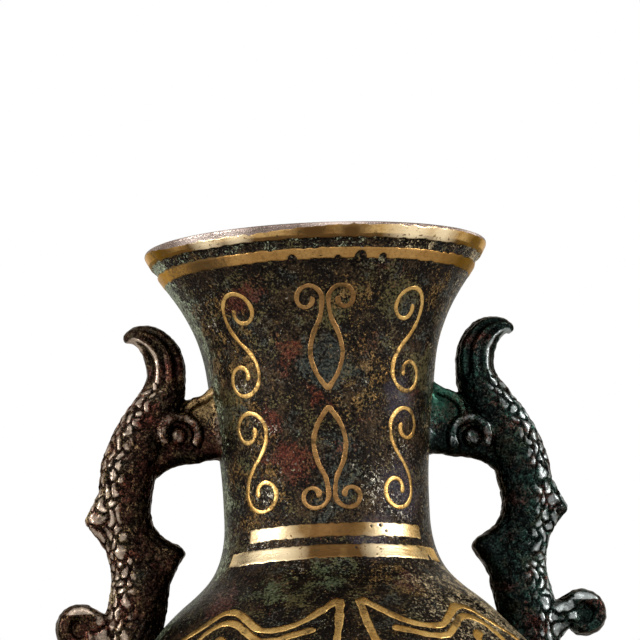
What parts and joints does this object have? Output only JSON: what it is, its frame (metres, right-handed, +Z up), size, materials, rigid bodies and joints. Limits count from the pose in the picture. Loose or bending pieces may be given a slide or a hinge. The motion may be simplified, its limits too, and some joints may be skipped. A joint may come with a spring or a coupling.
{
  "type": "bronze vase",
  "caption": "Hollow bronze vase with a flared mouth, waisted neck, round belly and spread foot, beast handles with hooked crests, and inlaid gold bands and scrolls.",
  "frame": {"origin": "on the standing plane, under the vase's axis", "axes": "+Z up along the vase's axis, the front towards -Y, the handles on -X (left) and +X (right)"},
  "size_m": [0.2096, 0.202, 0.368],
  "materials": {
    "dark_bronze": "dark cast bronze with a mottled, lightly encrusted green and brown patina",
    "red_bronze": "red-brown cast bronze, rubbed bright on its scales",
    "green_bronze": "dark green cast bronze, rubbed bright on its scales",
    "gold_inlay": "hammered gold strip and wire, worn and nicked"
  },
  "bodies": {
    "root": {"vase_body": "dark_bronze", "foot_ring": "dark_bronze", "base_plate": "dark_bronze", "left_handle": "red_bronze", "right_handle": "green_bronze", "rim_band": "gold_inlay", "mouth_band": "gold_inlay", "collar_upper_front": "gold_inlay", "collar_upper_back": "gold_inlay", "collar_lower_front": "gold_inlay", "collar_lower_back": "gold_inlay", "foot_band": "gold_inlay", "neck_scroll_left_upper_front": "gold_inlay", "neck_scroll_left_lower_front": "gold_inlay", "neck_scroll_middle_upper_front": "gold_inlay", "neck_scroll_middle_lower_front": "gold_inlay", "neck_scroll_right_upper_front": "gold_inlay", "neck_scroll_right_lower_front": "gold_inlay", "neck_scroll_left_upper_back": "gold_inlay", "neck_scroll_left_lower_back": "gold_inlay", "neck_scroll_middle_upper_back": "gold_inlay", "neck_scroll_middle_lower_back": "gold_inlay", "neck_scroll_right_upper_back": "gold_inlay", "neck_scroll_right_lower_back": "gold_inlay", "shoulder_crest_line_left_front": "gold_inlay", "shoulder_brow_scroll_left_front": "gold_inlay", "shoulder_jaw_scroll_left_front": "gold_inlay", "shoulder_crest_line_right_front": "gold_inlay", "shoulder_brow_scroll_right_front": "gold_inlay", "shoulder_jaw_scroll_right_front": "gold_inlay", "shoulder_crest_line_left_back": "gold_inlay", "shoulder_brow_scroll_left_back": "gold_inlay", "shoulder_jaw_scroll_left_back": "gold_inlay", "shoulder_crest_line_right_back": "gold_inlay", "shoulder_brow_scroll_right_back": "gold_inlay", "shoulder_jaw_scroll_right_back": "gold_inlay"}
  },
  "joints": []
}
